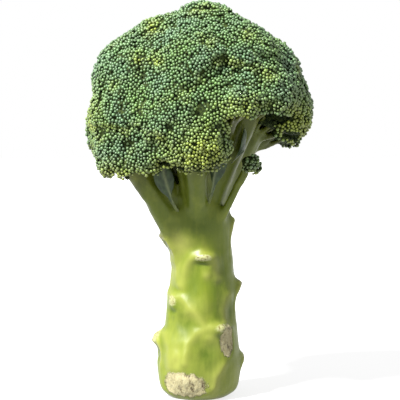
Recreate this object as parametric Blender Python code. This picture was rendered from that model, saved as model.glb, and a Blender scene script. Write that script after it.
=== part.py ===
"""Broccoli head, standing on its cut stalk: a stalk with leaf scars, branches, florets and small leaves.

Units are metres, +Z is up, the front is -Y, and the origin is the centre of the flat cut under the stalk.
Each floret is a domed cap of buds on its own branch. Neighbouring caps share the head along flat
partitions, a small gap apart, the way crowded florets press against each other.
"""

import math

import bmesh
import bpy
from mathutils import Vector
from mathutils.bvhtree import BVHTree

# Driving dimensions
HEAD_CENTRE = Vector((0.001, 0.0, 0.152))
HEAD_HALF = Vector((0.0640, 0.0620, 0.0690))
NECK_HEIGHT = 0.096
STALK_TOP = 0.134
TOP_FORK_HEIGHT = 0.128
TOP_FORK_INSET = 0.7
GAP = 0.0004
WELD = 0.00001
SLIVER = 0.000001

# Mesh density
CAP_SEGMENTS = 17
CAP_RINGS = 11
STALK_SEGMENTS = 30
STALK_RINGS = 40
BRANCH_BEVEL_RESOLUTION = 2
BRANCH_STEPS = 5

# How sharply a cap turns from its dome into its partitions and its underside
EDGE_SHARPNESS = 20
# The least share of the way to a neighbour that a cap keeps for itself
LEAST_SHARE = 0.38
# A direction this close to a plane's own never reaches it
GRAZING = 0.001

# Stalk radius against height, from the cut end up to where it ends among the branches
STALK_PROFILE = (
    (0.000, 0.0195),
    (0.010, 0.0222),
    (0.022, 0.0226),
    (0.040, 0.0200),
    (0.056, 0.0186),
    (0.072, 0.0172),
    (0.084, 0.0172),
    (0.098, 0.0190),
    (0.110, 0.0170),
    (0.122, 0.0125),
    (0.134, 0.0080),
)
# How far the stalk's axis wanders to +X against height
STALK_DRIFT = ((0.0, 0.0), (0.022, 0.0006), (0.045, 0.0014), (0.072, 0.0024), (0.098, -0.0008), (0.134, 0.0))
FOOT_ROUNDING = 0.004
TIP_RISE = 0.003
# Shallow flutes round the stalk: depth as a share of the radius, how many, and degrees of twist up to the neck
FLUTE_DEPTH = 0.018
FLUTES = 5
FLUTE_TWIST = 900
# Shares of the way from the middle of the cut to the tip taken by the flat cut and by the tip's dome
FOOT_SHARE = 0.10
TIP_SHARE = 0.94

# Leaf scars: azimuth in degrees (0 faces the front, 90 faces +X), height, half width, stub, cushion below
LEAF_SCARS = (
    (-72, 0.0905, 0.0075, 0.0030, 0.0006),
    (8, 0.0795, 0.0075, 0.0028, 0.0012),
    (92, 0.0625, 0.0045, 0.0044, 0.0012),
    (-50, 0.0550, 0.0050, 0.0018, 0.0012),
    (-86, 0.0335, 0.0055, 0.0056, 0.0026),
    (38, 0.0400, 0.0070, 0.0022, 0.0016),
    (96, 0.0215, 0.0060, 0.0026, 0.0010),
    (-22, 0.0120, 0.0095, 0.0010, 0.0006),
    (84, 0.0985, 0.0030, 0.0030, 0.0004),
    (152, 0.0840, 0.0070, 0.0028, 0.0012),
    (-142, 0.0700, 0.0065, 0.0026, 0.0014),
    (176, 0.0480, 0.0070, 0.0026, 0.0016),
    (-128, 0.0270, 0.0065, 0.0030, 0.0014),
    (142, 0.0170, 0.0060, 0.0022, 0.0010),
)
SCAR_ABOVE = 0.0022
SCAR_BELOW = 0.0042
CUSHION_LENGTH = 0.020

# Florets: name: (azimuth, elevation from the head's centre, dome radius, underside depth at the branch and
# at the rim as shares of the radius, bulge past the head's envelope)
FLORETS = {
    "top": (6, 72, 0.0335, 0.45, 0.25, 0.0012),
    "front_upper": (-5, 36, 0.0320, 0.45, 0.25, 0.0006),
    "front_right_upper": (42, 42, 0.0300, 0.45, 0.25, 0.0018),
    "left_top": (-75, 57, 0.0260, 0.50, 0.30, -0.0012),
    "left_upper": (-66, 30, 0.0290, 0.45, 0.30, 0.0044),
    "left_lower": (-60, 2, 0.0260, 0.45, 0.35, 0.0030),
    "front_left": (-16, 5, 0.0250, 0.45, 0.30, 0.0000),
    "front": (-3, -12, 0.0205, 0.45, 0.35, -0.0005),
    "front_right": (48, 16, 0.0260, 0.35, -0.15, 0.0008),
    "front_bud": (20, 9, 0.0150, 0.40, 0.00, 0.0000),
    "right_upper": (84, 33, 0.0285, 0.45, 0.25, 0.0008),
    "right_lower": (84, 12, 0.0280, 0.50, 0.35, 0.0003),
    "back_right_upper": (128, 36, 0.0310, 0.45, 0.25, 0.0005),
    "back_right": (118, 1, 0.0270, 0.45, 0.20, 0.0000),
    "back_upper": (176, 42, 0.0310, 0.45, 0.25, 0.0005),
    "back_mid_right": (152, 4, 0.0270, 0.45, 0.30, 0.0005),
    "back_mid_left": (-170, 2, 0.0280, 0.45, 0.30, 0.0010),
    "back_left_upper": (-122, 34, 0.0310, 0.45, 0.25, 0.0005),
    "back_left": (-132, 0, 0.0280, 0.45, 0.30, 0.0010),
    "left_back": (-94, -3, 0.0270, 0.45, 0.30, 0.0005),
    "left_hanging": (-60, -17, 0.0160, 0.45, 0.20, 0.0020),
    "side_shoot": (47, -26, 0.0068, 0.60, 0.40, -0.0160),
}
# Branches: radius at the stalk and at the floret, how far from the stalk's axis it starts and how much it
# leans outward there. Florets without an entry use the low or the high branch, by their elevation.
LOW_BRANCH = (0.0060, 0.0066, 0.0105, 0.45)
HIGH_BRANCH = (0.0040, 0.0066, 0.0110, 0.30)
HIGH_FROM = 25
# Florets at or below the lowest elevation fork at the neck, and those at or above the highest near the tip
LOWEST_FORK = -5
HIGHEST_FORK = 55
BRANCHES = {
    "top": (0.0060, 0.0090, 0.0020, 0.10),
    "left_lower": (0.0075, 0.0080, 0.0120, 0.60),
    "left_hanging": (0.0074, 0.0062, 0.0165, 0.70),
    "front": (0.0062, 0.0068, 0.0110, 0.20),
    "front_left": (0.0062, 0.0070, 0.0110, 0.25),
    "front_right": (0.0075, 0.0080, 0.0105, 0.45),
    "front_bud": (0.0045, 0.0052, 0.0110, 0.25),
    "right_lower": (0.0080, 0.0080, 0.0100, 0.40),
    "side_shoot": (0.0022, 0.0026, 0.0150, 0.60),
}
# How far past its underside a cap would be reached by its branch, as a share of the underside's depth, how
# far a branch keeps the direction it starts and ends with, and how much thinner it is midway
BRANCH_ROOTING = 0.35
BRANCH_PULL = 0.36
BRANCH_WAIST = 0.10

# Small leaves among the branches: azimuth and height where the leaf starts and how far out that is, then
# the same for its tip, its half width and how many degrees its face turns from facing outward
LEAVES = {
    "leaf_left": (-36, 0.104, 0.0215, -37, 0.135, 0.0360, 0.0060, 25),
    "leaf_front": (18, 0.108, 0.0225, 22, 0.146, 0.0370, 0.0050, -30),
    "leaf_right": (42, 0.118, 0.0240, 40, 0.152, 0.0400, 0.0055, 35),
    "leaf_back": (160, 0.102, 0.0225, 163, 0.136, 0.0350, 0.0065, 15),
}
LEAF_THICKNESS = 0.0009
LEAF_STEPS = 9
LEAF_RIBS = 4
LEAF_BOW = 0.004
LEAF_FOLD = 0.35
# Share of the leaf's length that is its stem, and the stem's width as a share of the blade's
LEAF_STEM = 0.3
LEAF_STEM_WIDTH = 0.22

FLORET_COLOUR = (0.090, 0.160, 0.070, 1.0)
STALK_COLOUR = (0.420, 0.520, 0.120, 1.0)
BRANCH_COLOUR = (0.250, 0.360, 0.070, 1.0)
LEAF_COLOUR = (0.080, 0.150, 0.080, 1.0)


def clear_scene():
    for obj in list(bpy.data.objects):
        bpy.data.objects.remove(obj)


def new_collection(name):
    collection = bpy.data.collections.new(name)
    bpy.context.scene.collection.children.link(collection)
    return collection


def material(name, colour, roughness):
    made = bpy.data.materials.new(name)
    made.use_nodes = True
    shader = made.node_tree.nodes["Principled BSDF"]
    shader.inputs["Base Color"].default_value = colour
    shader.inputs["Roughness"].default_value = roughness
    return made


def heading(azimuth, elevation=0.0):
    """Unit vector for an azimuth and elevation in degrees. Azimuth 0 is the front, 90 is +X."""
    a, e = math.radians(azimuth), math.radians(elevation)
    return Vector((math.sin(a) * math.cos(e), -math.cos(a) * math.cos(e), math.sin(e)))


def smooth_between(points, at):
    """Value at a position along (position, value) points, eased between them as a Catmull-Rom curve."""
    if at <= points[0][0]:
        return points[0][1]
    for i in range(len(points) - 1):
        (x0, y0), (x1, y1) = points[i], points[i + 1]
        if at <= x1:
            before = points[max(i - 1, 0)]
            after = points[min(i + 2, len(points) - 1)]
            slope0 = (y1 - before[1]) / (x1 - before[0])
            slope1 = (after[1] - y0) / (after[0] - x0)
            t, width = (at - x0) / (x1 - x0), x1 - x0
            t2, t3 = t * t, t * t * t
            return (
                (2 * t3 - 3 * t2 + 1) * y0
                + (t3 - 2 * t2 + t) * width * slope0
                + (3 * t2 - 2 * t3) * y1
                + (t3 - t2) * width * slope1
            )
    return points[-1][1]


def mesh_from(bm, name):
    """The bmesh as a mesh of flat triangles, so that a cut and what it is cut from agree on every face."""
    bmesh.ops.triangulate(bm, faces=bm.faces, quad_method="FIXED", ngon_method="EAR_CLIP")
    bm.normal_update()
    mesh = bpy.data.meshes.new(name)
    bm.to_mesh(mesh)
    bm.free()
    return mesh


def add_object(name, mesh, collection, finish):
    mesh.shade_smooth()
    obj = bpy.data.objects.new(name, mesh)
    obj.data.materials.clear()
    obj.data.materials.append(finish)
    collection.objects.link(obj)
    return obj


# Stalk


def scar_height(azimuth, height):
    """How far the leaf scars lift the stalk's surface at an azimuth in degrees and a height."""
    lift = 0.0
    for scar_azimuth, scar_z, half_width, stub, cushion in LEAF_SCARS:
        turn = (azimuth - scar_azimuth + 180) % 360 - 180
        across = math.radians(turn) * smooth_between(STALK_PROFILE, scar_z) / half_width
        side = math.exp(-across * across)
        rise = height - scar_z
        reach = SCAR_ABOVE if rise > 0 else SCAR_BELOW
        lift += stub * side * math.exp(-((rise / reach) ** 2))
        if -CUSHION_LENGTH < rise <= 0:
            lift += cushion * side * (1 + rise / CUSHION_LENGTH)
    return lift


def stalk_point(azimuth, share, grow):
    """A point of the stalk's skin. share runs from 0, the middle of the cut, to 1, the tip."""
    around = heading(azimuth)
    if share < FOOT_SHARE:
        radius = (STALK_PROFILE[0][1] - FOOT_ROUNDING) * share / FOOT_SHARE
        return around * radius + Vector((0, 0, -grow))
    if share > TIP_SHARE:
        turn = (share - TIP_SHARE) / (1 - TIP_SHARE) * math.pi / 2
        radius = (STALK_PROFILE[-1][1] + grow) * math.cos(turn)
        return around * radius + Vector((0, 0, STALK_TOP + (TIP_RISE + grow) * math.sin(turn)))
    height = STALK_TOP * (share - FOOT_SHARE) / (TIP_SHARE - FOOT_SHARE)
    radius = smooth_between(STALK_PROFILE, height) + scar_height(azimuth, height)
    if height < FOOT_ROUNDING:
        radius -= FOOT_ROUNDING * (1 - math.sqrt(1 - (1 - height / FOOT_ROUNDING) ** 2))
    fluting = 1 + FLUTE_DEPTH * math.sin(math.radians(FLUTES * azimuth + FLUTE_TWIST * height / NECK_HEIGHT))
    drift = Vector((smooth_between(STALK_DRIFT, height), 0, 0))
    return around * (radius * fluting + grow) + drift + Vector((0, 0, height))


def stalk_mesh(name, grow=0.0):
    """The stalk as a sphere primitive whose rings are moved onto the stalk's own outline."""
    bm = bmesh.new()
    bmesh.ops.create_uvsphere(bm, u_segments=STALK_SEGMENTS, v_segments=STALK_RINGS, radius=1.0)
    for vert in bm.verts:
        share = 1 - math.acos(max(-1.0, min(1.0, vert.co.z))) / math.pi
        azimuth = math.degrees(math.atan2(vert.co.x, -vert.co.y))
        vert.co = stalk_point(azimuth, share, grow)
    return mesh_from(bm, name)


# Florets


class Floret:
    """One cap of buds: where its dome is centred, how big it is and which way it faces."""

    def __init__(self, name, azimuth, elevation, radius, pole_depth, rim_depth, bulge):
        self.name = name
        self.azimuth = azimuth
        self.elevation = elevation
        self.radius = radius
        self.pole_depth = pole_depth * radius
        self.rim_depth = rim_depth * radius
        toward = heading(azimuth, elevation)
        surface = Vector(HEAD_HALF[i] * toward[i] for i in range(3))
        outward = Vector(toward[i] / HEAD_HALF[i] for i in range(3)).normalized()
        self.centre = HEAD_CENTRE + surface + outward * (bulge - radius)
        self.axis = (self.centre - fork_point(azimuth, elevation, LOW_BRANCH[2])).normalized()
        self.partitions = []

    def underside(self):
        """Where the branch meets the cap."""
        return self.centre - self.axis * self.pole_depth

    def reach(self, toward, grow):
        """Distance from the centre to the cap's skin, the soft minimum of dome, underside and partitions."""
        limits = [self.radius + grow]
        along = toward.dot(self.axis)
        across = math.sqrt(max(0.0, 1 - along * along))
        slope = (self.pole_depth - self.rim_depth) / self.radius
        steep = slope * across - along
        if steep > GRAZING:
            limits.append((self.pole_depth + grow) / steep)
        for normal, distance in self.partitions:
            facing = toward.dot(normal)
            if facing > GRAZING:
                limits.append((distance + grow) / facing)
        nearest = min(limits)
        total = sum((nearest / limit) ** EDGE_SHARPNESS for limit in limits)
        return nearest * total ** (-1 / EDGE_SHARPNESS)

    def mesh(self, name, grow=0.0):
        bm = bmesh.new()
        bmesh.ops.create_uvsphere(bm, u_segments=CAP_SEGMENTS, v_segments=CAP_RINGS, radius=1.0)
        turn = self.axis.to_track_quat("Z", "Y").to_matrix()
        for vert in bm.verts:
            toward = (turn @ vert.co).normalized()
            vert.co = self.centre + toward * self.reach(toward, grow)
        return mesh_from(bm, name)


def fork_point(azimuth, elevation, spread):
    """Where a floret's branch starts inside the stalk: low ones at the neck, high ones nearer the top."""
    climb = max(0.0, min(1.0, (elevation - LOWEST_FORK) / (HIGHEST_FORK - LOWEST_FORK)))
    height = NECK_HEIGHT + (TOP_FORK_HEIGHT - NECK_HEIGHT) * climb
    return heading(azimuth) * spread * (1 - TOP_FORK_INSET * climb) + Vector((0, 0, height))


# Branches


class Branch:
    """A tapering stem from the stalk into the underside of a floret."""

    def __init__(self, floret):
        self.name = "branch_" + floret.name
        usual = HIGH_BRANCH if floret.elevation > HIGH_FROM else LOW_BRANCH
        thick, thin, spread, lean = BRANCHES.get(floret.name, usual)
        self.radii = (thick, thin)
        start = fork_point(floret.azimuth, floret.elevation, spread)
        end = floret.underside() + floret.axis * BRANCH_ROOTING * floret.pole_depth
        leaving = (heading(floret.azimuth) * lean + Vector((0, 0, 1))).normalized()
        pull = (end - start).length * BRANCH_PULL
        self.controls = (start, start + leaving * pull, end - floret.axis * pull, end)

    def at(self, share):
        """Point on the branch's middle line, a cubic Bezier curve."""
        a, b, c, d = self.controls
        rest = 1 - share
        return a * rest**3 + b * 3 * share * rest**2 + c * 3 * share**2 * rest + d * share**3

    def tube(self, name, grow=0.0):
        """The branch as a closed tube of round sections, before its neighbours are cut from it."""
        curve = bpy.data.curves.new(name, "CURVE")
        curve.dimensions = "3D"
        curve.bevel_depth = 1.0
        curve.bevel_resolution = BRANCH_BEVEL_RESOLUTION
        curve.use_fill_caps = True
        spline = curve.splines.new("POLY")
        spline.points.add(BRANCH_STEPS - 1)
        thick, thin = self.radii
        for i, point in enumerate(spline.points):
            share = i / (BRANCH_STEPS - 1)
            waist = 1 - BRANCH_WAIST * math.sin(math.pi * share)
            point.co = (*self.at(share), 1)
            point.radius = (thick + (thin - thick) * share) * waist + grow
        return welded_mesh(curve, name)


def welded_mesh(curve, name):
    """The curve's evaluated tube as a mesh whose end caps are joined to its sides."""
    holder = bpy.data.objects.new(name, curve)
    bpy.context.scene.collection.objects.link(holder)
    graph = bpy.context.evaluated_depsgraph_get()
    tube = bpy.data.meshes.new_from_object(holder.evaluated_get(graph))
    bpy.data.objects.remove(holder)
    bpy.data.curves.remove(curve)
    bm = bmesh.new()
    bm.from_mesh(tube)
    bmesh.ops.remove_doubles(bm, verts=bm.verts, dist=WELD)
    bmesh.ops.recalc_face_normals(bm, faces=bm.faces)
    return mesh_from(bm, name)


def surface_tree(mesh):
    """Search tree over a mesh's faces. The mesh lies in world coordinates."""
    return BVHTree.FromPolygons([v.co for v in mesh.vertices], [f.vertices for f in mesh.polygons])


def cut(obj, cutters):
    """Cuts each mesh whose surface obj crosses out of it, and keeps the largest body that is left."""
    finish = obj.data.materials[0]
    for cutter in cutters:
        if not surface_tree(obj.data).overlap(surface_tree(cutter.data)):
            continue
        step = obj.modifiers.new("clear_of_" + cutter.name, "BOOLEAN")
        step.operation = "DIFFERENCE"
        step.solver = "EXACT"
        step.object = cutter
        graph = bpy.context.evaluated_depsgraph_get()
        obj.data = bpy.data.meshes.new_from_object(obj.evaluated_get(graph))
        obj.modifiers.clear()
    keep_largest_body(obj.data)
    obj.data.materials.clear()
    obj.data.materials.append(finish)
    obj.data.shade_smooth()


def linked_verts(start):
    """Every vertex of the loose body that the vertex start belongs to."""
    body, edge = set(), {start}
    while edge:
        vert = edge.pop()
        body.add(vert)
        edge |= {e.other_vert(vert) for e in vert.link_edges} - body
    return body


def keep_largest_body(mesh):
    """Removes the smaller loose bodies a cut can leave, and triangulates the one that stays."""
    bm = bmesh.new()
    bm.from_mesh(mesh)
    bmesh.ops.dissolve_degenerate(bm, edges=bm.edges, dist=SLIVER)
    unseen, bodies = set(bm.verts), []
    while unseen:
        bodies.append(linked_verts(next(iter(unseen))))
        unseen -= bodies[-1]
    keep = max(bodies, key=len)
    bmesh.ops.delete(bm, geom=[v for v in bm.verts if v not in keep], context="VERTS")
    bmesh.ops.triangulate(bm, faces=bm.faces)
    bm.to_mesh(mesh)
    bm.free()


def make_branches(florets, parts, helpers, finish):
    """Branches in the order of the florets. Each is cut clear of the stalk, the caps and earlier branches."""
    stalk_room = add_object("room_for_stalk", stalk_mesh("room_for_stalk", GAP), helpers, finish)
    caps_room = [
        add_object("room_for_" + f.name, f.mesh("room_for_" + f.name, GAP), helpers, finish) for f in florets
    ]
    branches_room = []
    for floret in florets:
        branch = Branch(floret)
        obj = add_object(branch.name, branch.tube(branch.name), parts, finish)
        cut(obj, [stalk_room, *caps_room, *branches_room])
        room = "room_for_" + branch.name
        branches_room.append(add_object(room, branch.tube(room, GAP), helpers, finish))


def leaf_mesh(name, azimuth, height, out, tip_azimuth, tip_height, tip_out, half_width, turn):
    """A thin folded blade that narrows to a stem at its start and to a point at its tip."""
    start = heading(azimuth) * out + Vector((0, 0, height))
    tip = heading(tip_azimuth) * tip_out + Vector((0, 0, tip_height))
    along = (tip - start).normalized()
    facing = heading((azimuth + tip_azimuth) / 2 + turn)
    facing = (facing - along * facing.dot(along)).normalized()
    side = along.cross(facing)
    bm = bmesh.new()
    bmesh.ops.create_grid(bm, x_segments=LEAF_RIBS, y_segments=LEAF_STEPS, size=1.0)
    for vert in bm.verts:
        share = (vert.co.y + 1) / 2
        blade = math.sin(math.pi * max(0.0, share - LEAF_STEM) / (1 - LEAF_STEM))
        width = half_width * max(LEAF_STEM_WIDTH * (1 - share), blade)
        middle = start.lerp(tip, share) + facing * LEAF_BOW * math.sin(math.pi * share)
        across = vert.co.x * width
        vert.co = middle + side * across - facing * LEAF_FOLD * abs(across)
    bmesh.ops.remove_doubles(bm, verts=bm.verts, dist=WELD)
    bmesh.ops.solidify(bm, geom=list(bm.faces), thickness=LEAF_THICKNESS)
    bmesh.ops.recalc_face_normals(bm, faces=bm.faces)
    return mesh_from(bm, name)


def make_leaves(parts, helpers, finish):
    """The small leaves, each cut clear of everything that already takes up room."""
    for name, numbers in LEAVES.items():
        obj = add_object(name, leaf_mesh(name, *numbers), parts, finish)
        cut(obj, helpers.objects)


def make_florets():
    florets = [Floret(name, *numbers) for name, numbers in FLORETS.items()]
    for one in florets:
        for other in florets:
            if other is one:
                continue
            between = other.centre - one.centre
            length = between.length
            if length > one.radius + other.radius + 2 * GAP:
                continue
            distance = (length**2 + one.radius**2 - other.radius**2) / (2 * length)
            distance = min(max(distance, LEAST_SHARE * length), (1 - LEAST_SHARE) * length)
            one.partitions.append((between / length, distance - GAP / 2))
    return florets


def main():
    clear_scene()
    parts = new_collection("broccoli_head")
    florets = make_florets()
    bud_finish = material("buds", FLORET_COLOUR, 0.6)
    stalk_finish = material("stalk_skin", STALK_COLOUR, 0.45)
    branch_finish = material("branches", BRANCH_COLOUR, 0.45)
    helpers = new_collection("cutters")
    add_object("stalk", stalk_mesh("stalk"), parts, stalk_finish)
    make_branches(florets, parts, helpers, branch_finish)
    make_leaves(parts, helpers, material("leaves", LEAF_COLOUR, 0.5))
    for helper in helpers.objects:
        helper.hide_render = True
        helper.display_type = "WIRE"
    for floret in florets:
        add_object("floret_" + floret.name, floret.mesh("floret_" + floret.name), parts, bud_finish)


main()
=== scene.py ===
import math
import random

import bmesh
import bpy
import numpy as np
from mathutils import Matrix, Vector, noise
from mathutils.bvhtree import BVHTree
from mathutils.kdtree import KDTree


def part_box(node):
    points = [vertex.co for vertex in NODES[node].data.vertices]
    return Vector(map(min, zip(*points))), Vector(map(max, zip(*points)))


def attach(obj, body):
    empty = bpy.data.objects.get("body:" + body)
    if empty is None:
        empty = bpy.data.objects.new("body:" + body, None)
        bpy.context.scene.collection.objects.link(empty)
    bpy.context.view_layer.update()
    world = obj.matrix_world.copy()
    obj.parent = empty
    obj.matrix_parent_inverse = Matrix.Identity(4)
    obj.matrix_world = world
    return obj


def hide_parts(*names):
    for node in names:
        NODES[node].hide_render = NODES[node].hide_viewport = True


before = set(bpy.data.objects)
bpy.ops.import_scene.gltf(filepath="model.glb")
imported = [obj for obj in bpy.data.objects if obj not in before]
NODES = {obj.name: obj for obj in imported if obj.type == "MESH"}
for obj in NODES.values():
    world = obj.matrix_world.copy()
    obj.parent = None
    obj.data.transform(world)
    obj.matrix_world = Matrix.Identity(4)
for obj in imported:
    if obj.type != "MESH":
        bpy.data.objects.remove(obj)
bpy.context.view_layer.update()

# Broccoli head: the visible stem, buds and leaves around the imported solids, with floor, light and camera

MM = 0.001
NECK = Vector((0.0, 0.0, 0.096))
RANDOM = random.Random(7)

# Crown: rays toward its centre read the caps, creases narrower than these steps are filled, then all is eased
CROWN_CENTRE = Vector((0.001, 0.0, 0.148))
RAY_LEVELS = 7
RAY_START = 0.20
RAY_LENGTH = 0.19
LEAST_REACH = 0.012
CREASE_STEPS = 6
EASING = 3
# A face turned further than this from its floret's axis, as a cosine, is an underside without buds
UNDERSIDE = -0.25
# The dark core lies this far under the crown's surface, and its skin is this thick; their near-black colour
# is painted shade between the buds
CORE_DEPTH = 2.0 * MM
SKIN_THICKNESS = 2.0 * MM

# Buds: least gap when scattered, then the gap they push toward, in rounds, and how far they sink in
BUD_LEAST = 1.30 * MM
TRIES_PER_PLACE = 3.2
BUD_PITCH = 1.72 * MM
PUSH_REACH = 1.12 * BUD_PITCH
PUSH_SHARE = 0.35
PUSH_ROUNDS = 5
BUD_SINK = 0.95 * MM
BUD_RADIUS = 0.98 * MM
BUD_SIDES = 8
BUD_WAVE = 0.09
# Rings of a bud as (height, width) in bud radii, from its base to its tip
BUD_RINGS = ((-0.30, 0.86), (0.30, 1.00), (0.80, 0.62))
BUD_BASE, BUD_TIP = -0.70, 1.02
# Brightness of each ring of a bud from base to tip: the dark base is painted shade in the gaps between buds,
# the tip is paler
BUD_PAINTED_SHADES = (0.15, 0.30, 0.80, 1.12, 1.30)
# Each cluster of buds stands up in its middle and leans out at its edge
CLUSTER_PITCH = 4.8 * MM
CLUSTER_RISE = 0.75 * MM
CLUSTER_LEAN = 0.45
# Small outgrowths that close the rim between florets: centre and half sizes in millimetres
RIM_LOBES = (
    ("floret_front_left", (-26, -37, 134), (10, 9, 11)),
    ("floret_left_lower", (-37, -33, 131), (9, 9, 10)),
)
# Bud colours, as linear RGB
BLUE_GREEN = Vector((0.042, 0.090, 0.042))
MID_GREEN = Vector((0.046, 0.096, 0.020))
YELLOW_GREEN = Vector((0.118, 0.150, 0.012))
# Where the front's buds are yellower: x, z, half width and half height in millimetres, and how much
WARM_SPOTS = (
    (2, 138, 14, 14, 0.90),
    (24, 162, 13, 6, 0.65),
    (56, 153, 10, 13, 0.80),
    (-60, 160, 7, 14, 0.45),
    (-47, 126, 8, 6, 0.60),
    (-25, 206, 5, 5, 0.80),
    (-32, 188, 4, 4, 0.70),
    (-22, 186, 4, 3, 0.60),
    (0, 214, 7, 3, 0.45),
    (27, 201, 4, 4, 0.55),
    (38, 179, 5, 4, 0.45),
)

# Leaf scars: azimuth, height, callus half width and half height, how far it stands out, arch half width or 0
SCARS = (
    (-72, 90.5, 4.5, 1.6, 1.0, 7.0),
    (8, 79.5, 4.6, 1.8, 1.2, 0.0),
    (92, 62.5, 2.4, 2.6, 1.0, 6.0),
    (-50, 55.0, 3.6, 3.0, 1.1, 0.0),
    (-86, 33.5, 4.2, 5.0, 0.9, 7.0),
    (38, 40.5, 5.5, 2.2, 1.0, 0.0),
    (96, 21.5, 3.5, 4.5, 0.6, 6.0),
    (84, 98.5, 1.6, 1.4, 0.6, 3.5),
    (152, 84.0, 4.5, 1.8, 1.0, 7.5),
    (-142, 70.0, 4.2, 2.4, 1.0, 7.0),
    (176, 48.0, 4.6, 2.6, 1.0, 7.5),
    (-128, 27.0, 4.2, 3.0, 0.8, 7.0),
    (142, 17.0, 4.0, 3.0, 0.8, 6.5),
)
# A scar's marks reach no further than this across it, above it and below it, in millimetres
SCAR_REACH, SCAR_TOP, SCAR_DROP = 20, 8, -28
RIDGE_WIDTH = 2.7
# Raised pale lines on the front of the stalk, as x and z in millimetres
FRONT_RIDGES = (
    ((-3, 80), (-7, 74), (-9.5, 64)),
    ((-3, 80), (2, 82.5), (7, 80), (10, 75), (11, 68)),
    ((-15, 58), (-9.5, 57), (-4, 52), (1, 46), (4, 41)),
    ((-7.8, 22), (-6, 32), (-1, 38), (4, 41), (10, 42), (15, 40)),
    ((-17, 89), (-14, 84), (-14.5, 77)),
    ((17, 58), (15, 50), (15.5, 44)),
    ((-18, 36), (-15.5, 28), (-15, 19)),
    ((14, 20), (10, 14), (9, 8)),
)
# Broad swells and hollows on the front: x, z, half width, half height, lift, and tone from pale (1), partly
# painted light on the swells, to deep green (-1), painted shade in the hollows
FRONT_FIELDS = (
    (-9.5, 88, 7, 7, 0.4, 0.9),
    (5, 70, 3.2, 2.8, 0.8, 0.7),
    (11.5, 71, 3.6, 8, -1.2, -1.0),
    (-2.5, 68, 4.5, 9, -0.5, -0.5),
    (17, 48.5, 3.2, 8, -1.3, -1.0),
    (12, 50, 5, 9, -0.2, -0.7),
    (-12, 72, 5, 8, 0.2, 0.6),
    (-5.6, 50, 4.2, 3, 0.9, 0.7),
    (-9, 44, 6, 7, -0.9, -0.8),
    (4, 55, 5, 7, 0.3, 0.3),
    (4, 26, 6, 11, -0.9, -1.0),
    (6, 36, 5, 3.5, 1.1, 0.8),
    (-12, 24, 4.5, 10, 0.3, 0.8),
    (9, 62, 3, 7, 0.3, -0.4),
    (0, 97, 9, 6, -0.3, -0.6),
)
# Corky patches: azimuth, height, half width, half height in millimetres, depth
CORKS = (
    (46, 33.5, 5.8, 9.0, 0.7),
    (-22, 9.3, 14.5, 7.4, 0.9),
    (166, 40.0, 5.0, 7.0, 0.6),
)
# Skin colours from the pale foot of the stalk to its finest stems, and in its hollows, as linear RGB; the
# darker upper stalk, branches and fine stems are partly painted shade under the crown, and the hollow colour
# is painted shade
LIGHT_SKIN = Vector((0.135, 0.152, 0.024))
MID_SKIN = Vector((0.085, 0.110, 0.006))
UPPER_SKIN_AND_SHADE = Vector((0.070, 0.092, 0.006))
BRANCH_SKIN_AND_SHADE = Vector((0.058, 0.074, 0.004))
TWIG_SKIN_AND_SHADE = Vector((0.034, 0.040, 0.003))
HOLLOW_PAINTED_SHADE = Vector((0.036, 0.060, 0.001))
# The stalk's marks end below this height and inside this distance from the axis, in metres
MARKED_TOP, MARKED_OUT = 0.108, 0.030
# Stem: how far the solids are grown before they melt together, and the voxels of the two meltings
STEM_GROWTH = 0.45 * MM
BODY_VOXEL = 1.0 * MM
STEM_VOXEL = 0.92 * MM
# Fine stems under a floret: more for florets whose mean radius is above this
LARGE_FLORET = 9 * MM
MANY_TWIGS, FEW_TWIGS = 11, 4
TWIG_STEPS = 8
# How far each leaf's stem bends in at its foot, toward the stalk, and the share of its height that bends
LEAF_BENDS = {"leaf_left": 3.0 * MM, "leaf_front": 6.2 * MM, "leaf_right": 6.4 * MM, "leaf_back": 6.2 * MM}
BENT_SHARE = 0.45

# Stage: a floor that nearly vanishes, one key light, and the camera, in metres and degrees
FLOOR_HALF = 6.0
FLOOR_GREY = (0.22, 0.22, 0.22, 1.0)
FLOOR_GLOW = 0.76
WHITE = (1.0, 1.0, 1.0, 1.0)
KEY_STRENGTH = 15.0
KEY_WIDTH, KEY_AZIMUTH, KEY_ELEVATION = 9, -48, 46
CAMERA_PLACE = Vector((0.001, -0.75, 0.150))
CAMERA_AIM = Vector((0.001, 0.0, 0.1105))
CAMERA_LENS = 120.27


# Meshes


def held(value):
    """The value, held to the range from 0 to 1."""
    return min(1.0, max(0.0, value))


def bell(across, rise, half_width, half_height):
    """1 at the middle of a soft oval spot, falling to 0 outside it."""
    return math.exp(-((across / half_width) ** 2) - ((rise / half_height) ** 2))


def middle_of(points):
    return sum(points, Vector()) / len(points)


def corners_of(name):
    return [v.co for v in NODES[name].data.vertices]


def names_with(start):
    return sorted(name for name in NODES if name.startswith(start))


def scene_object(name, data):
    obj = bpy.data.objects.new(name, data)
    bpy.context.scene.collection.objects.link(obj)
    return obj


def mesh_from(bm, name):
    """A mesh of the edited form, which is freed."""
    mesh = bpy.data.meshes.new(name)
    bm.to_mesh(mesh)
    bm.free()
    return mesh


def copied(names, grow):
    """One mesh of the named nodes, each skin moved out along its normals by grow."""
    bm = bmesh.new()
    for name in names:
        start = len(bm.verts)
        bm.from_mesh(NODES[name].data)
        bm.verts.ensure_lookup_table()
        bmesh.ops.remove_doubles(bm, verts=bm.verts[start:], dist=0.01 * MM)
    bmesh.ops.recalc_face_normals(bm, faces=bm.faces)
    bm.normal_update()
    shifts = [v.normal * grow for v in bm.verts]
    for vert, shift in zip(bm.verts, shifts):
        vert.co += shift
    return mesh_from(bm, "copied")


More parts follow.
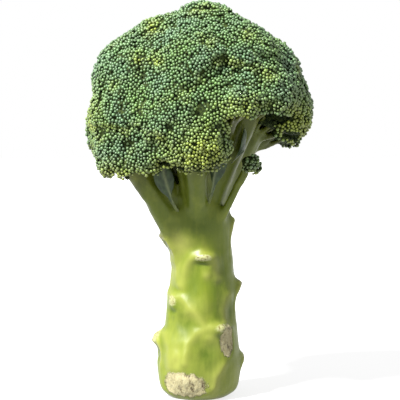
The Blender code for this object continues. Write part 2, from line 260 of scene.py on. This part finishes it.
def with_modifiers(mesh, *steps):
    """The mesh after (type, settings) modifiers."""
    obj = scene_object("working", mesh)
    for kind, settings in steps:
        step = obj.modifiers.new(kind, kind)
        for key, value in settings.items():
            setattr(step, key, value)
    graph = bpy.context.evaluated_depsgraph_get()
    made = bpy.data.meshes.new_from_object(obj.evaluated_get(graph))
    bpy.data.objects.remove(obj)
    return made


def joined(*meshes):
    bm = bmesh.new()
    for mesh in meshes:
        bm.from_mesh(mesh)
    return mesh_from(bm, "joined")


def tree_of(mesh):
    return BVHTree.FromPolygons([v.co for v in mesh.vertices], [f.vertices for f in mesh.polygons])


def paint(mesh, name, colours):
    """Stores an RGB value for each vertex."""
    layer = mesh.color_attributes.new(name, "FLOAT_COLOR", "POINT")
    values = np.ones((len(mesh.vertices), 4))
    values[:, :3] = colours
    layer.data.foreach_set("color", values.ravel())


def finish_piece(name, mesh, surface, nodes=()):
    """Puts a fixed piece in the scene, with its material and the nodes it replaces."""
    mesh.shade_smooth()
    mesh.materials.clear()
    mesh.materials.append(surface)
    obj = scene_object(name, mesh)
    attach(obj, "root")
    if nodes:
        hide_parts(*nodes)


def blurred_noise(point, size, seed=0.0):
    """Smooth noise from -1 to 1 whose features are about size metres across."""
    return noise.noise(Vector(point) / size + Vector((seed, seed * 1.7, -seed)))


# Materials


class Surface:
    """One Principled material and the nodes that feed it."""

    def __init__(self, name):
        self.material = bpy.data.materials.new(name)
        self.material.use_nodes = True
        self.tree = self.material.node_tree
        self.shader = self.tree.nodes["Principled BSDF"]
        self.where = self.tree.nodes.new("ShaderNodeTexCoord").outputs["Object"]

    def link(self, a, b):
        self.tree.links.new(a, b)

    def attribute(self, name):
        node = self.tree.nodes.new("ShaderNodeAttribute")
        node.attribute_name = name
        return node.outputs["Color"]

    def channel(self, colour, which):
        node = self.tree.nodes.new("ShaderNodeSeparateColor")
        self.link(colour, node.inputs[0])
        return node.outputs[which]

    def noise(self, scale, detail=3.0, stretch=(1, 1, 1), rough=0.55):
        mapping = self.tree.nodes.new("ShaderNodeMapping")
        mapping.inputs["Scale"].default_value = stretch
        self.link(self.where, mapping.inputs["Vector"])
        node = self.tree.nodes.new("ShaderNodeTexNoise")
        node.inputs["Scale"].default_value = scale
        node.inputs["Detail"].default_value = detail
        node.inputs["Roughness"].default_value = rough
        self.link(mapping.outputs[0], node.inputs["Vector"])
        return node.outputs["Fac"]

    def ramp(self, value, low, high):
        """value rescaled so that low gives 0 and high gives 1, held to that range."""
        node = self.tree.nodes.new("ShaderNodeMapRange")
        node.inputs["From Min"].default_value = low
        node.inputs["From Max"].default_value = high
        self.link(value, node.inputs["Value"])
        return node.outputs["Result"]

    def math(self, kind, a, b):
        node = self.tree.nodes.new("ShaderNodeMath")
        node.operation = kind
        for socket, value in zip(node.inputs, (a, b)):
            if isinstance(value, (int, float)):
                socket.default_value = value
            else:
                self.link(value, socket)
        return node.outputs[0]

    def mix(self, share, a, b, kind="MIX"):
        node = self.tree.nodes.new("ShaderNodeMix")
        node.data_type = "RGBA"
        node.blend_type = kind
        for socket, value in zip((node.inputs["Factor"], node.inputs[6], node.inputs[7]), (share, a, b)):
            if isinstance(value, (int, float)):
                socket.default_value = value
            elif isinstance(value, tuple):
                socket.default_value = (*value, 1.0)
            else:
                self.link(value, socket)
        return node.outputs[2]

    def bump(self, height, distance, strength=1.0, before=None):
        node = self.tree.nodes.new("ShaderNodeBump")
        node.inputs["Distance"].default_value = distance
        node.inputs["Strength"].default_value = strength
        self.link(height, node.inputs["Height"])
        if before:
            self.link(before, node.inputs["Normal"])
        return node.outputs[0]

    def done(self, colour, roughness, normal=None):
        self.link(colour, self.shader.inputs["Base Color"])
        if isinstance(roughness, float):
            self.shader.inputs["Roughness"].default_value = roughness
        else:
            self.link(roughness, self.shader.inputs["Roughness"])
        if normal:
            self.link(normal, self.shader.inputs["Normal"])
        return self.material


def bud_material():
    s = Surface("buds_waxy")
    grain = s.noise(2200, 2.0)
    colour = s.mix(0.35, s.attribute("tint"), s.ramp(grain, 0.3, 0.7), "OVERLAY")
    roughness = s.math("ADD", s.math("MULTIPLY", grain, 0.16), 0.36)
    return s.done(colour, roughness, s.bump(grain, 0.10 * MM, 0.5))


def core_material():
    s = Surface("floret_core")
    s.shader.inputs["Specular IOR Level"].default_value = 0.1
    twigs = s.noise(700, 3.0)
    # Near-black greens: painted shade deep between the buds, broken by a noise of fine stems
    colour = s.mix(s.ramp(twigs, 0.40, 0.66), (0.004, 0.009, 0.002), (0.030, 0.044, 0.008))
    return s.done(colour, 0.75, s.bump(twigs, 0.8 * MM, 0.8))


def stem_material():
    s = Surface("stem_skin")
    marks = s.attribute("marks")
    pale, cork, ridge = (s.channel(marks, i) for i in range(3))
    fibres = s.noise(520, 4.0, (1, 1, 0.10))
    mottle = s.noise(150, 4.0, (1, 1, 0.55))
    specks = s.noise(900, 3.0)
    colour = s.attribute("skin")
    colour = s.mix(s.ramp(fibres, 0.35, 0.70), s.mix(1.0, colour, (0.86, 0.90, 0.80), "MULTIPLY"), colour)
    colour = s.mix(s.math("MULTIPLY", s.ramp(mottle, 0.48, 0.75), 0.45), colour, (0.150, 0.168, 0.022))
    # Paler on the ridges, and on the front's swells, where the pale is partly painted light
    colour = s.mix(s.math("MULTIPLY", ridge, 0.72), colour, (0.195, 0.202, 0.042))
    callus = s.ramp(s.math("ADD", pale, s.math("MULTIPLY", specks, 0.5)), 0.58, 0.85)
    callused = s.mix(s.ramp(specks, 0.38, 0.50), (0.095, 0.075, 0.025), (0.200, 0.205, 0.090))
    colour = s.mix(callus, colour, callused)
    patchy = s.noise(300, 5.0, (1, 1, 0.6), 0.65)
    torn = s.ramp(s.math("ADD", cork, s.math("MULTIPLY", patchy, 0.8)), 0.86, 0.96)
    barks = s.mix(s.ramp(patchy, 0.36, 0.50), (0.030, 0.018, 0.004), (0.215, 0.190, 0.100))
    dry = s.mix(0.6, barks, (0.260, 0.245, 0.150))
    colour = s.mix(torn, colour, s.mix(s.ramp(specks, 0.45, 0.65), barks, dry))
    sound = s.math("ADD", s.math("MULTIPLY", mottle, 0.12), 0.34)
    rough = s.math("ADD", s.math("MULTIPLY", torn, 0.35), sound)
    normal = s.bump(fibres, 0.12 * MM, 0.35)
    normal = s.bump(s.math("MULTIPLY", patchy, torn), 1.4 * MM, 1.0, normal)
    s.shader.inputs["Specular IOR Level"].default_value = 0.22
    return s.done(colour, rough, normal)


def leaf_material():
    s = Surface("leaf_blade")
    veins = s.noise(520, 4.0, (1, 1, 0.35))
    colour = s.mix(s.ramp(veins, 0.35, 0.65), (0.007, 0.017, 0.004), (0.022, 0.042, 0.010))
    marks = s.attribute("marks")
    petiole, rib = (s.channel(marks, i) for i in range(2))
    colour = s.mix(s.ramp(petiole, 0.35, 0.9), colour, (0.09, 0.105, 0.030))
    colour = s.mix(s.math("MULTIPLY", rib, 0.75), colour, (0.10, 0.120, 0.050))
    s.shader.inputs["Specular IOR Level"].default_value = 0.3
    return s.done(colour, 0.48, s.bump(veins, 0.35 * MM, 0.6))


# Buds


def spread_max(values, edges, rounds):
    """The values after each vertex takes the largest one among its neighbours, rounds times."""
    for _ in range(rounds):
        wider = values.copy()
        np.maximum.at(wider, edges[:, 0], values[edges[:, 1]])
        np.maximum.at(wider, edges[:, 1], values[edges[:, 0]])
        values = wider
    return values


def crown_surface(caps):
    """The skin that the buds stand on: the caps seen from outside, with the creases between them filled."""
    bm = bmesh.new()
    bmesh.ops.create_icosphere(bm, subdivisions=RAY_LEVELS, radius=1.0)
    ways = [v.co.normalized() for v in bm.verts]
    reach = np.zeros(len(ways))
    for i, way in enumerate(ways):
        spot = caps.ray_cast(CROWN_CENTRE + way * RAY_START, -way, RAY_LENGTH)[0]
        if spot:
            reach[i] = (spot - CROWN_CENTRE).length
    edges = np.array([[v.index for v in edge.verts] for edge in bm.edges])
    filled = -spread_max(-spread_max(reach, edges, CREASE_STEPS), edges, CREASE_STEPS)
    empty = filled < LEAST_REACH
    for _ in range(EASING):
        total = filled.copy()
        count = np.ones(len(ways))
        both = ~empty[edges[:, 0]] & ~empty[edges[:, 1]]
        for a, b in ((0, 1), (1, 0)):
            np.add.at(total, edges[both, a], filled[edges[both, b]])
            np.add.at(count, edges[both, a], 1)
        filled = np.where(empty, filled, total / count)
    for vert, way, length in zip(bm.verts, ways, filled):
        vert.co = CROWN_CENTRE + way * length
    bmesh.ops.delete(bm, geom=[v for v, none in zip(list(bm.verts), empty) if none], context="VERTS")
    return mesh_from(bm, "crown")


def spread_points(mesh, allowed, least):
    """Points scattered over the mesh's faces, no two nearer than least."""
    weights, faces = [], []
    for face in mesh.polygons:
        if allowed(face.center, face.normal):
            faces.append(face)
            weights.append(face.area)
    count = int(sum(weights) / least**2 * TRIES_PER_PLACE)
    taken, kept = {}, []
    for face in RANDOM.choices(faces, weights, k=count):
        corners = [mesh.vertices[i].co for i in face.vertices]
        a, b = RANDOM.random(), RANDOM.random()
        if len(corners) == 4:
            point = corners[0].lerp(corners[1], a).lerp(corners[3].lerp(corners[2], a), b)
        else:
            if a + b > 1:
                a, b = 1 - a, 1 - b
            point = corners[0] + (corners[1] - corners[0]) * a + (corners[2] - corners[0]) * b
        cell = tuple(math.floor(c / least) for c in point)
        near = (
            taken.get((cell[0] + i, cell[1] + j, cell[2] + k), ())
            for i in (-1, 0, 1) for j in (-1, 0, 1) for k in (-1, 0, 1)
        )
        if all((point - other).length_squared >= least * least for group in near for other in group):
            taken.setdefault(cell, []).append(point)
            kept.append(point)
    return kept


def near_tree(points):
    tree = KDTree(len(points))
    for i, point in enumerate(points):
        tree.insert(point, i)
    tree.balance()
    return tree


def evened(points, surface):
    """The points after they push each other apart along the surface."""
    for _ in range(PUSH_ROUNDS):
        tree = near_tree(points)
        moved = []
        for point in points:
            push = Vector((0, 0, 0))
            for other, _, gap in tree.find_range(point, PUSH_REACH):
                if gap > 0:
                    push += (point - other) * (PUSH_REACH - gap) / gap
            moved.append(surface.find_nearest(point + push * PUSH_SHARE)[0])
        points = moved
    return points


class Crown:
    """Where the buds stand: the filled surface, the cap under each point and the way each cap faces."""

    def __init__(self, names):
        verts, faces, self.owners = [], [], []
        for index, name in enumerate(names):
            data = NODES[name].data
            start = len(verts)
            verts += [v.co for v in data.vertices]
            faces += [[start + i for i in f.vertices] for f in data.polygons]
            self.owners += [index] * len(data.polygons)
        for name, centre, half in RIM_LOBES:
            bm = bmesh.new()
            bmesh.ops.create_icosphere(bm, subdivisions=3, radius=MM)
            start = len(verts)
            verts += [Vector(c * h for c, h in zip(v.co, half)) + Vector(centre) * MM for v in bm.verts]
            faces += [[start + v.index for v in f.verts] for f in bm.faces]
            self.owners += [names.index(name)] * len(bm.faces)
            bm.free()
        self.caps = BVHTree.FromPolygons(verts, faces)
        self.axes = [(middle_of(corners_of(name)) - NECK).normalized() for name in names]
        self.mesh = crown_surface(self.caps)
        self.tree = tree_of(self.mesh)
        self.faces_of = [[] for _ in names]
        for face in self.mesh.polygons:
            if self.budded(face.center, face.normal):
                self.faces_of[self.owner(face.center)].append(face.index)

    def owner(self, point):
        return self.owners[self.caps.find_nearest(point)[2]]

    def budded(self, point, normal):
        """Whether buds grow there: everywhere but on an underside."""
        return normal.dot(self.axes[self.owner(point)]) > UNDERSIDE

    def skin(self, index):
        """A closed layer just under the buds of one floret, or None where they have no surface."""
        faces = [self.mesh.polygons[i].vertices for i in self.faces_of[index]]
        if not faces:
            return None
        used = sorted({i for face in faces for i in face})
        place = {old: new for new, old in enumerate(used)}
        verts = [self.mesh.vertices[i].co - self.mesh.vertices[i].normal * CORE_DEPTH for i in used]
        mesh = bpy.data.meshes.new("skin")
        mesh.from_pydata(verts, [], [[place[i] for i in face] for face in faces])
        return with_modifiers(mesh, ("SOLIDIFY", {"thickness": SKIN_THICKNESS, "offset": -1.0}))


def bud_grid():
    """One bud as (height, width) of each vertex's ring, its turn, its painted shade, and the faces between
    them.
    """
    heights, widths, turns, painted_shades = [BUD_BASE], [0.0], [0.0], [BUD_PAINTED_SHADES[0]]
    for ring, (height, width) in enumerate(BUD_RINGS):
        for side in range(BUD_SIDES):
            heights.append(height)
            widths.append(width * (1 + BUD_WAVE * (-1) ** side))
            turns.append(2 * math.pi * (side + 0.5 * ring) / BUD_SIDES)
            painted_shades.append(BUD_PAINTED_SHADES[ring + 1])
    heights.append(BUD_TIP)
    widths.append(0.0)
    turns.append(0.0)
    painted_shades.append(BUD_PAINTED_SHADES[-1])
    faces = []
    top = len(heights) - 1
    for side in range(BUD_SIDES):
        after = (side + 1) % BUD_SIDES
        faces.append((0, 1 + after, 1 + side))
        for ring in range(len(BUD_RINGS) - 1):
            low, high = 1 + ring * BUD_SIDES, 1 + (ring + 1) * BUD_SIDES
            faces.append((low + side, low + after, high + side))
            faces.append((low + after, high + after, high + side))
        last = 1 + (len(BUD_RINGS) - 1) * BUD_SIDES
        faces.append((last + side, last + after, top))
    return np.array(heights), np.array(widths), np.array(turns), np.array(painted_shades), np.array(faces)


def bud_tint(point, normal, axis):
    """Colour of one bud: blue-green on top of its floret, yellow-green toward the rim and in patches, and
    darker low on the crown as painted shade.
    """
    rim = max(0.0, 0.45 - normal.dot(axis)) * max(0.0, 0.5 - normal.z)
    patch = blurred_noise(point, 12 * MM, 3.0) + 0.5 * blurred_noise(point, 4 * MM, 9.0)
    low = max(0.0, (0.145 - point.z) / 0.040)
    warm = 0.05 + 0.9 * rim + 0.6 * max(0.0, patch - 0.25) + 0.35 * low
    if point.y < 0.010:
        for x, z, half_width, half_height, much in WARM_SPOTS:
            spot = bell(point.x / MM - x, point.z / MM - z, half_width, half_height)
            warm += much * spot * (1 + 0.7 * blurred_noise(point, 3 * MM, 6.0))
    warm = min(1.0, warm)
    cool = held(0.5 + 0.9 * blurred_noise(point, 16 * MM, 5.0))
    tint = MID_GREEN.lerp(BLUE_GREEN, cool).lerp(YELLOW_GREEN, warm)
    # Buds low on the crown are darkened here: painted shade under the overhanging florets
    return tint * (1 - 0.50 * min(1.0, low)) * (1 + RANDOM.uniform(-0.26, 0.26))


def bake_cells(mesh, count, grid_verts):
    """A UV map where each bud has a square of its own, seen from its tip."""
    heights, widths, turns = grid_verts
    side = math.ceil(math.sqrt(count))
    heights_out = (BUD_BASE, *(height for height, _ in BUD_RINGS), BUD_TIP)
    spread = dict(zip(heights_out, (0.98, 0.88, 0.68, 0.40, 0.0)))
    per_bud = len(heights)
    layer = mesh.uv_layers.new(name="OFBake")
    loops = np.empty(len(mesh.loops), dtype=np.int64)
    mesh.loops.foreach_get("vertex_index", loops)
    bud, local = loops // per_bud, loops % per_bud
    radius = np.array([spread[h] for h in heights])[local]
    turn = turns[local].reshape(-1, 3)
    pole = (local == 0).reshape(-1, 3)
    mean = np.arctan2(np.sum(np.sin(turn) * ~pole, 1), np.sum(np.cos(turn) * ~pole, 1))
    turn = np.where(pole, mean[:, None], turn).ravel()
    u = (bud % side + 0.5 + 0.48 * radius * np.cos(turn)) / side
    v = (bud // side + 0.5 + 0.48 * radius * np.sin(turn)) / side
    layer.data.foreach_set("uv", np.column_stack((u, v)).ravel())


def buds_mesh(points, normals, tints, sizes):
    """All the buds of one floret as one mesh."""
    heights, widths, turns, painted_shades, faces = bud_grid()
    count, per_bud = len(points), len(heights)
    points, normals, tints, sizes = (np.array(x) for x in (points, normals, tints, sizes))
    helper = np.where(np.abs(normals[:, 2:3]) < 0.9, np.array([[0.0, 0.0, 1.0]]), np.array([[1.0, 0.0, 0.0]]))
    across = np.cross(normals, helper)
    across /= np.linalg.norm(across, axis=1, keepdims=True)
    other = np.cross(normals, across)
    spins = np.array([RANDOM.uniform(0, 2 * math.pi) for _ in range(count)])
    stretch = np.array([RANDOM.uniform(0.92, 1.18) for _ in range(count)])
    angle = turns[None, :] + spins[:, None]
    ring = (widths[None, :] * sizes[:, None])[..., None]
    rise = (heights[None, :] * (sizes * stretch)[:, None])[..., None]
    verts = points[:, None, :] + ring * (
        np.cos(angle)[..., None] * across[:, None, :] + np.sin(angle)[..., None] * other[:, None, :]
    ) + rise * normals[:, None, :]
    all_faces = (faces[None] + (np.arange(count) * per_bud)[:, None, None]).reshape(-1, 3)
    mesh = bpy.data.meshes.new("buds")
    mesh.from_pydata(verts.reshape(-1, 3), [], all_faces)
    # Each bud's tint is multiplied by its rings' painted shade
    paint(mesh, "tint", (tints[:, None, :] * painted_shades[None, :, None]).reshape(-1, 3))
    bake_cells(mesh, count, (heights, widths, turns))
    return mesh


def core_mesh(name, axis):
    """The shrunken body under a floret's buds, hollowed on its underside."""
    mesh = with_modifiers(copied([name], -CORE_DEPTH), ("SUBSURF", {"levels": 1}))
    for vert in mesh.vertices:
        under = max(0.0, UNDERSIDE - vert.normal.dot(axis))
        vert.co += axis * min(under * 5 * MM, 3.5 * MM)
        vert.co += vert.normal * 0.5 * MM * blurred_noise(vert.co, 3 * MM)
    return mesh


def bud_groups(crown, names):
    """Place, direction, colour and size of each bud, in one list for each floret."""
    points = spread_points(crown.mesh, crown.budded, BUD_LEAST)
    points = evened(points, crown.tree)
    clusters = near_tree(spread_points(crown.mesh, crown.budded, CLUSTER_PITCH))
    groups = [[] for _ in names]
    for point in points:
        spot, normal, _, _ = crown.tree.find_nearest(point)
        if not crown.budded(spot, normal):
            continue
        middle, _, off = clusters.find(spot)
        lean = (spot - middle) / (CLUSTER_PITCH * 0.5)
        facing = normal + lean * CLUSTER_LEAN + Vector(RANDOM.gauss(0, 0.16) for _ in range(3))
        lift = CLUSTER_RISE * (1 - (off / (CLUSTER_PITCH * 0.55)) ** 2) + RANDOM.gauss(0, 0.30 * MM)
        owner = crown.owner(spot)
        groups[owner].append((
            spot + normal * (lift - BUD_SINK),
            facing.normalized(),
            bud_tint(spot, normal, crown.axes[owner]),
            BUD_RADIUS * RANDOM.uniform(0.68, 1.14),
        ))
    return groups


def make_buds(names, waxy, dark):
    crown = Crown(names)
    for index, (name, group) in enumerate(zip(names, bud_groups(crown, names))):
        finish_piece(name + "_buds", buds_mesh(*zip(*group)), waxy, [name])
        core = core_mesh(name, crown.axes[index])
        skin = crown.skin(index)
        # The core and the skin under the buds take the near-black core colour, painted shade between the buds
        finish_piece(name + "_core", joined(core, skin) if skin else core, dark)


# Stem


def tube(bm, points, radii, sides=8):
    """Adds a closed round tube along the points."""
    rings = []
    for i, point in enumerate(points):
        ahead = points[min(i + 1, len(points) - 1)] - points[max(i - 1, 0)]
        turn = ahead.to_track_quat("Z", "Y")
        ring = []
        for side in range(sides):
            angle = 2 * math.pi * side / sides
            offset = turn @ Vector((math.cos(angle), math.sin(angle), 0)) * radii[i]
            ring.append(bm.verts.new(point + offset))
        rings.append(ring)
    for low, high in zip(rings, rings[1:]):
        for side in range(sides):
            after = (side + 1) % sides
            bm.faces.new((low[side], low[after], high[after], high[side]))
    bm.faces.new(reversed(rings[0]))
    bm.faces.new(rings[-1])


def branchlets(names):
    """Fine stems that fan out from the end of each branch under its floret."""
    bm = bmesh.new()
    for name in names:
        branch = corners_of("branch_" + name[len("floret_"):])
        cap = corners_of(name)
        middle = middle_of(cap)
        axis = (middle - NECK).normalized()
        reach = max(corner.dot(axis) for corner in branch)
        ends = [corner for corner in branch if corner.dot(axis) > reach - 4 * MM]
        fork = middle_of(ends) - axis * 5 * MM
        size = sum((c - middle).length for c in cap) / len(cap)
        side = axis.orthogonal().normalized()
        other = axis.cross(side)
        count = MANY_TWIGS if size > LARGE_FLORET else FEW_TWIGS
        for i in range(count):
            angle = 2 * math.pi * (i + RANDOM.uniform(-0.25, 0.25)) / count
            out = side * math.cos(angle) + other * math.sin(angle)
            reach_out = size * RANDOM.uniform(0.70, 0.92)
            end = middle + out * reach_out + axis * size * RANDOM.uniform(-0.15, 0.10)
            bend = fork.lerp(end, 0.5) + out * size * 0.14 - axis * size * 0.10
            path = []
            for step in range(TWIG_STEPS):
                t = step / (TWIG_STEPS - 1)
                path.append(fork * (1 - t) ** 2 + bend * 2 * t * (1 - t) + end * t * t)
            base = min(3.2 * MM, size * 0.16)
            tube(bm, path, [base * (1 - 0.55 * step / (TWIG_STEPS - 1)) for step in range(TWIG_STEPS)])
    return mesh_from(bm, "branchlets")


def stem_nodes():
    return sorted(["stalk", *names_with("branch_")])


def stem_base(names):
    """The stalk, branches and fine stems grown together, before its marks."""
    body = with_modifiers(
        copied(stem_nodes(), STEM_GROWTH),
        ("REMESH", {"mode": "VOXEL", "voxel_size": BODY_VOXEL}),
        ("SMOOTH", {"factor": 0.5, "iterations": 16}),
    )
    return with_modifiers(
        joined(body, branchlets(names)),
        ("REMESH", {"mode": "VOXEL", "voxel_size": STEM_VOXEL}),
        ("SMOOTH", {"factor": 0.5, "iterations": 4}),
    )


def arch_under(across, rise, half_width, arch):
    """Shares of the pale ridge that frames a scar, and of the hollow under it, whose darker green is painted
    shade.
    """
    drop = max(0.0, -rise)
    side = half_width * 0.7 + (arch - half_width * 0.7) * math.sqrt(min(1.0, drop / 12))
    ridge = bell(abs(across) - side, drop, 1.7, 15)
    if rise > 0:
        ridge = bell(across, rise - 1.2, half_width * 1.3, 1.9)
    hollow = math.exp(-((across / side) ** 4) - ((drop - 8) / 7) ** 2)
    return ridge, hollow


def line_distance(x, z, line):
    """Distance from a point to a line of points."""
    best = math.inf
    for (ax, az), (bx, bz) in zip(line, line[1:]):
        along = ((x - ax) * (bx - ax) + (z - az) * (bz - az)) / ((bx - ax) ** 2 + (bz - az) ** 2)
        along = held(along)
        best = min(best, math.hypot(x - ax - along * (bx - ax), z - az - along * (bz - az)))
    return best


def front_form(x, z):
    """Ridge share, tone of painted light and shade, and lift in millimetres of the front of the stalk."""
    lines = max(math.exp(-((line_distance(x, z, line) / RIDGE_WIDTH) ** 2)) for line in FRONT_RIDGES)
    tone, lift = 0.0, 0.0
    for at_x, at_z, half_width, half_height, rise, shade in FRONT_FIELDS:
        share = bell(x - at_x, z - at_z, half_width, half_height)
        lift += rise * share
        tone += shade * share
    return lines * 0.6, max(-1.0, min(1.0, tone)), lift


def stalk_marks(azimuth, height, radius):
    """Lift in metres, and pale, corky, ridge and hollow shares, of the stalk's skin at degrees and mm."""
    lift, pale, cork, ridge, hollow = 0.0, 0.0, 0.0, 0.0, 0.0
    for at, z, half_width, half_height, stand, arch in SCARS:
        across = math.radians((azimuth - at + 180) % 360 - 180) * radius
        rise = height - z
        if abs(across) > SCAR_REACH or rise > SCAR_TOP or rise < SCAR_DROP:
            continue
        spot = bell(across, rise, half_width, half_height)
        # Just under each callus the skin dips and takes the hollow colour, a painted shadow of the ledge
        below = bell(across, rise + half_height * 1.9, half_width, 1.8)
        frame_share, hollow_share = arch_under(across, rise, half_width, arch) if arch else (0.0, 0.0)
        lift += stand * spot - 0.9 * below + 1.1 * frame_share - 0.9 * hollow_share
        pale = max(pale, spot)
        ridge = max(ridge, frame_share)
        hollow = max(hollow, hollow_share, below)
    if abs(azimuth) < 90:
        x = math.sin(math.radians(azimuth)) * radius
        lines, tone, swell = front_form(x, height)
        lift += 1.6 * lines + 1.15 * swell
        # The front's pale tone joins the ridge share, partly painted light, and its deep tone the hollow
        # share, painted shade
        ridge = max(ridge, lines, tone)
        hollow = max(hollow, -tone)
    for at, z, half_width, half_height, depth in CORKS:
        across = math.radians((azimuth - at + 180) % 360 - 180) * radius
        span = math.hypot(across / half_width, (height - z) / half_height)
        cork = max(cork, held(1.5 - span))
        lift -= depth * held((1.15 - span) * 3)
    return lift * MM, pale, cork, ridge, hollow


def skin_colour(height, out, point, hollow):
    """Colour of the stem's skin: pale at the foot, greener and darker toward the branches and fine stems,
    partly painted shade under the crown, and darker in hollows as painted shade.
    """
    wave = blurred_noise(point, 14 * MM, 2.0)
    foot = held(0.25 + height / 0.085 + 0.75 * wave)
    colour = LIGHT_SKIN.lerp(MID_SKIN, foot)
    # Toward the crown the skin darkens, partly painted shade under it
    upper = held((height - 0.078) / 0.024 + 0.3 * wave)
    colour = colour.lerp(UPPER_SKIN_AND_SHADE, upper)
    branch = held((height - 0.104) / 0.020)
    colour = colour.lerp(BRANCH_SKIN_AND_SHADE, branch)
    twig = held((out - 0.034) / 0.010)
    return colour.lerp(TWIG_SKIN_AND_SHADE, twig).lerp(HOLLOW_PAINTED_SHADE, 0.9 * hollow)


def stem_marks(point, normal):
    """Lift in metres, and pale, corky, ridge and hollow shares, at one point of the whole stem."""
    out = math.hypot(point.x, point.y)
    lift, pale, cork, ridge, hollow = 0.0, 0.0, 0.0, 0.0, 0.0
    if point.z < MARKED_TOP and out < MARKED_OUT:
        azimuth = math.degrees(math.atan2(point.x, -point.y))
        lift, pale, cork, ridge, hollow = stalk_marks(azimuth, point.z / MM, out / MM)
        lift *= held((MARKED_TOP - point.z) / 0.006) * min(1.0, point.z / 0.003)
    lift += 0.22 * MM * blurred_noise(point, 5 * MM, 1.0)
    grain = Vector((point.x, point.y, point.z * 0.15))
    lift += 0.07 * MM * blurred_noise(grain, 1.6 * MM, 4.0)
    if point.z < 0.6 * MM and normal.z < -0.7:
        lift, pale = 0.0, 0.9
    return lift, pale, cork, ridge, hollow


def make_stem(names, surface):
    mesh = stem_base(names)
    skins, marks, shifts = [], [], []
    for vert in mesh.vertices:
        lift, pale, cork, ridge, hollow = stem_marks(vert.co, vert.normal)
        shifts.append(vert.normal * lift)
        skins.append(skin_colour(vert.co.z, math.hypot(vert.co.x, vert.co.y), vert.co, hollow))
        marks.append((pale, cork, ridge))
    for vert, shift in zip(mesh.vertices, shifts):
        vert.co += shift
        vert.co.z = max(vert.co.z, 0.0)
    paint(mesh, "skin", np.array(skins))
    paint(mesh, "marks", np.array(marks))
    finish_piece("stem", mesh, surface, stem_nodes())


# Leaves


def midrib_share(points):
    """How near each point of a leaf lies to the line up its middle, from 0 to 1."""
    flat = points[:, :2] - points[:, :2].mean(axis=0)
    across = flat @ np.linalg.svd(flat, full_matrices=False)[2][0]
    middle = np.polyval(np.polyfit(points[:, 2], across, 2), points[:, 2])
    return np.exp(-(((across - middle) / (0.55 * MM)) ** 2))


def make_leaves(surface):
    for name in names_with("leaf_"):
        mesh = with_modifiers(copied([name], 0.0), ("SUBSURF", {"levels": 3}))
        low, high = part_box(name)
        span = high[2] - low[2]
        points = np.array([v.co for v in mesh.vertices])
        marks = np.zeros((len(points), 3))
        marks[:, 0] = np.maximum(0.0, 1 - (points[:, 2] - low[2]) / (0.40 * span))
        marks[:, 1] = midrib_share(points)
        for vert, rib in zip(mesh.vertices, marks[:, 1]):
            vert.co += vert.normal * MM * (0.35 * rib + 0.30 * blurred_noise(vert.co, 3 * MM))
            inward = Vector((-vert.co.x, -vert.co.y, 0.0)).normalized()
            foot = held(1 - (vert.co.z - low[2]) / (BENT_SHARE * span))
            vert.co += inward * LEAF_BENDS[name] * foot**1.5
        paint(mesh, "marks", marks)
        finish_piece(name + "_blade", mesh, surface, [name])


# Stage


def make_floor():
    bm = bmesh.new()
    bmesh.ops.create_grid(bm, x_segments=1, y_segments=1, size=FLOOR_HALF)
    mesh = mesh_from(bm, "floor")
    floor = scene_object("floor", mesh)
    finish = Surface("floor_pale")
    for socket, value in (
        ("Base Color", FLOOR_GREY),
        ("Roughness", 1.0),
        ("Specular IOR Level", 0.0),
        ("Emission Color", WHITE),
        ("Emission Strength", FLOOR_GLOW),
    ):
        finish.shader.inputs[socket].default_value = value
    mesh.materials.append(finish.material)


def make_light():
    world = bpy.data.worlds.new("studio")
    world.use_nodes = True
    world.node_tree.nodes["Background"].inputs["Color"].default_value = WHITE
    world.node_tree.nodes["Background"].inputs["Strength"].default_value = 1.0
    bpy.context.scene.world = world
    bpy.context.scene.view_settings.view_transform = "Standard"

    key = bpy.data.lights.new("key", "SUN")
    key.energy = KEY_STRENGTH
    key.angle = math.radians(KEY_WIDTH)
    lamp = scene_object("key", key)
    azimuth, elevation = math.radians(KEY_AZIMUTH), math.radians(KEY_ELEVATION)
    toward = Vector((
        math.sin(azimuth) * math.cos(elevation), -math.cos(azimuth) * math.cos(elevation), math.sin(elevation)
    ))
    lamp.rotation_mode = "QUATERNION"
    lamp.rotation_quaternion = toward.to_track_quat("Z", "Y")


def make_camera():
    camera = bpy.data.cameras.new("camera")
    camera.sensor_width = 36.0
    camera.lens = CAMERA_LENS
    camera.clip_start = 0.05
    obj = scene_object("camera", camera)
    obj.location = CAMERA_PLACE
    obj.rotation_mode = "QUATERNION"
    obj.rotation_quaternion = (CAMERA_AIM - obj.location).to_track_quat("-Z", "Y")
    bpy.context.scene.camera = obj


make_camera()
make_floor()
make_light()
names = names_with("floret_")
make_buds(names, bud_material(), core_material())
make_stem(names, stem_material())
make_leaves(leaf_material())
